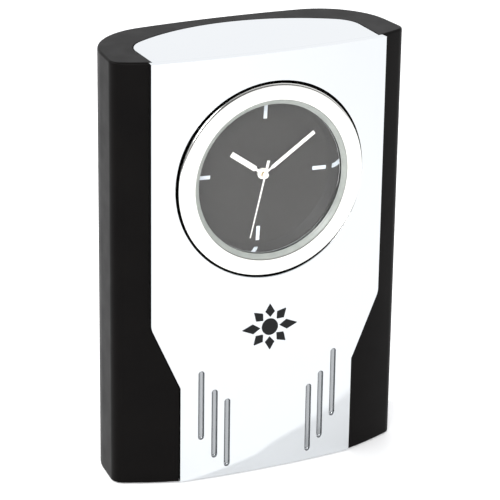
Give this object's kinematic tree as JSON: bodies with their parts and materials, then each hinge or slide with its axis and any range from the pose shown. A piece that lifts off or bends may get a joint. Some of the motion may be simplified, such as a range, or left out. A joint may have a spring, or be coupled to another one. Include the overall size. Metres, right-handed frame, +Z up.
{
  "type": "desk clock",
  "caption": "Upright desk clock with a black D-plan housing, a chromed front-and-top cover, a round dial insert behind glass, a quartz movement and a hinged back door.",
  "frame": {"origin": "centre of the clock in plan, on the underside of the base pad, which is the surface it stands on", "axes": "+Z up, -Y out of the dial (front), +X to the right as seen from the front"},
  "size_m": [0.1076, 0.0464, 0.152],
  "materials": {
    "soft_black": "soft-touch matt black over moulded ABS",
    "chrome_plate": "mirror-polished chrome plate",
    "bezel_metal": "polished warm nickel-chrome",
    "clear_glass": "clear flat mineral glass",
    "gasket_grey": "smooth translucent grey-green",
    "mirror_wall": "mirror metallised inner wall",
    "dial_paint": "satin warm dark grey",
    "marker_white": "cool white print",
    "hand_ivory": "satin ivory white paint",
    "emblem_dark": "charcoal enamel",
    "inner_black": "fine-textured moulded black",
    "foam_black": "closed-cell foam",
    "zinc_steel": "bright zinc-plated steel",
    "nickel_strip": "nickel-plated spring strip",
    "weight_steel": "mill-finish steel block",
    "nut_brass": "turned brass",
    "gear_white": "natural acetal",
    "copper_wire": "enamelled copper winding",
    "core_iron": "annealed transformer iron",
    "magnet_grey": "sintered magnet",
    "board_green": "green solder resist",
    "chip_epoxy": "black epoxy drop",
    "cell_sleeve": "printed-look sleeve without any print"
  },
  "bodies": {
    "clock_body": {"housing": "soft_black", "base_plate": "inner_black", "base_pad": "foam_black", "base_screws": "zinc_steel", "ballast_weight": "weight_steel", "ballast_screws": "zinc_steel", "front_cover": "chrome_plate", "cover_screws": "zinc_steel", "emblem": "emblem_dark", "bezel": "bezel_metal", "glass_gasket": "gasket_grey", "glass": "clear_glass", "reflector_ring": "mirror_wall", "dial": "dial_paint", "hour_markers": "marker_white", "dial_carrier": "inner_black", "carrier_screws": "zinc_steel", "clamp_ring": "inner_black", "movement_nut": "nut_brass", "movement_case_front": "inner_black", "movement_case_back": "inner_black", "coil_core": "core_iron", "coil_bobbin": "gear_white", "coil_winding": "copper_wire", "stator": "core_iron", "circuit_board": "board_green", "quartz_crystal": "nickel_strip", "driver_chip": "chip_epoxy", "positive_contact": "nickel_strip", "negative_contact": "nickel_strip", "battery_cell": "cell_sleeve", "battery_cap": "nickel_strip"},
    "hour_works": {"hour_wheel": "gear_white", "hour_hand": "hand_ivory"},
    "minute_works": {"cannon_pinion": "nut_brass", "clutch_spring": "nickel_strip", "minute_hand": "hand_ivory"},
    "reverse_works": {"reverse_wheel": "gear_white"},
    "setting_works": {"setting_shaft": "gear_white", "setting_knob": "inner_black"},
    "second_works": {"second_wheel": "gear_white", "second_hand": "hand_ivory", "second_hand_cap": "hand_ivory"},
    "third_works": {"third_wheel": "gear_white"},
    "centre_works": {"centre_wheel": "gear_white"},
    "intermediate_works": {"intermediate_wheel": "gear_white"},
    "rotor_works": {"rotor": "gear_white", "rotor_magnet": "magnet_grey"},
    "door": {"back_door": "soft_black"}
  },
  "joints": [
    {"name": "minute_spin", "type": "hinge", "parent": "clock_body", "child": "minute_works", "pos_m": [0, 0, 0.1073], "axis": [0, 1, 0], "continuous": true},
    {"name": "hour_spin", "type": "hinge", "parent": "clock_body", "child": "hour_works", "pos_m": [0, 0, 0.1073], "axis": [0, 1, 0], "continuous": true},
    {"name": "reverse_spin", "type": "hinge", "parent": "clock_body", "child": "reverse_works", "pos_m": [0.00846, 0, 0.11038], "axis": [0, 1, 0], "continuous": true},
    {"name": "setting_spin", "type": "hinge", "parent": "clock_body", "child": "setting_works", "pos_m": [0.01763, 0, 0.11466], "axis": [0, 1, 0], "continuous": true},
    {"name": "second_spin", "type": "hinge", "parent": "clock_body", "child": "second_works", "pos_m": [0, 0, 0.1073], "axis": [0, 1, 0], "continuous": true},
    {"name": "third_spin", "type": "hinge", "parent": "clock_body", "child": "third_works", "pos_m": [-0.00167, 0, 0.11675], "axis": [0, 1, 0], "continuous": true},
    {"name": "centre_spin", "type": "hinge", "parent": "clock_body", "child": "centre_works", "pos_m": [0, 0, 0.1073], "axis": [0, 1, 0], "continuous": true},
    {"name": "intermediate_spin", "type": "hinge", "parent": "clock_body", "child": "intermediate_works", "pos_m": [-0.00945, 0, 0.10563], "axis": [0, 1, 0], "continuous": true},
    {"name": "rotor_spin", "type": "hinge", "parent": "clock_body", "child": "rotor_works", "pos_m": [-0.01673, 0, 0.10983], "axis": [0, 1, 0], "continuous": true},
    {"name": "back_door_hinge", "type": "hinge", "parent": "clock_body", "child": "door", "pos_m": [-0.029, 0.02066, 0.1075], "axis": [0, 0, 1], "range_deg": [0, 100]}
  ],
  "couplings": [
    {"joint": "hour_spin", "follows": "minute_spin", "ratio": 0.083333},
    {"joint": "reverse_spin", "follows": "minute_spin", "ratio": -0.33333},
    {"joint": "setting_spin", "follows": "minute_spin", "ratio": 0.66667},
    {"joint": "third_spin", "follows": "second_spin", "ratio": -0.13333},
    {"joint": "centre_spin", "follows": "second_spin", "ratio": 0.016667},
    {"joint": "intermediate_spin", "follows": "second_spin", "ratio": -5},
    {"joint": "rotor_spin", "follows": "second_spin", "ratio": 30}
  ]
}
